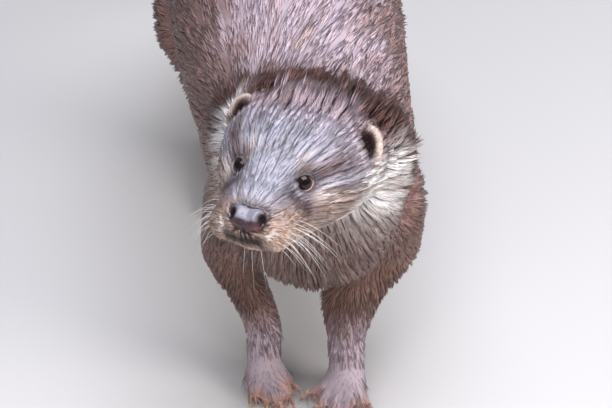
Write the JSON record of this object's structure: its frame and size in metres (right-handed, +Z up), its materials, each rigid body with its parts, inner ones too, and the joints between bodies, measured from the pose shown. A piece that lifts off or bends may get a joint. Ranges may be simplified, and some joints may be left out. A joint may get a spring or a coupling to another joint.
{
  "type": "eurasian otter",
  "caption": "Standing Eurasian otter at life size, head turned to its right, forefeet close together, long tapering tail laid down to the floor behind.",
  "frame": {"origin": "on the floor, under the middle of the box round the otter from nose to tail tip", "axes": "+Z up, -Y the way the body faces, +X the otter's left; the head is turned towards -X"},
  "size_m": [0.1806, 0.9472, 0.26],
  "materials": {
    "fur": "short dense wet fur",
    "ear_fur": "short fur with a pale rim",
    "foot_skin": "webbed skin under very short fur",
    "nose_skin": "moist pebbled skin",
    "eye": "wet and glossy",
    "claw": "worn horn"
  },
  "bodies": {
    "root": {"head": "fur", "lower_jaw": "fur", "neck": "fur", "trunk": "fur", "tail_base": "fur", "tail_middle": "fur", "tail_tip": "fur", "upper_arm_right": "fur", "forearm_right": "fur", "thigh_right": "fur", "shank_right": "fur", "upper_arm_left": "fur", "forearm_left": "fur", "thigh_left": "fur", "shank_left": "fur", "ear_right": "ear_fur", "ear_left": "ear_fur", "forefoot_right": "foot_skin", "forefoot_left": "foot_skin", "hindfoot_right": "foot_skin", "hindfoot_left": "foot_skin", "nose": "nose_skin", "eye_right": "eye", "eye_left": "eye", "forefoot_right_claw_1": "claw", "forefoot_right_claw_2": "claw", "forefoot_right_claw_3": "claw", "forefoot_right_claw_4": "claw", "forefoot_right_claw_5": "claw", "forefoot_left_claw_1": "claw", "forefoot_left_claw_2": "claw", "forefoot_left_claw_3": "claw", "forefoot_left_claw_4": "claw", "forefoot_left_claw_5": "claw", "hindfoot_right_claw_1": "claw", "hindfoot_right_claw_2": "claw", "hindfoot_right_claw_3": "claw", "hindfoot_right_claw_4": "claw", "hindfoot_right_claw_5": "claw", "hindfoot_left_claw_1": "claw", "hindfoot_left_claw_2": "claw", "hindfoot_left_claw_3": "claw", "hindfoot_left_claw_4": "claw", "hindfoot_left_claw_5": "claw"}
  },
  "joints": []
}
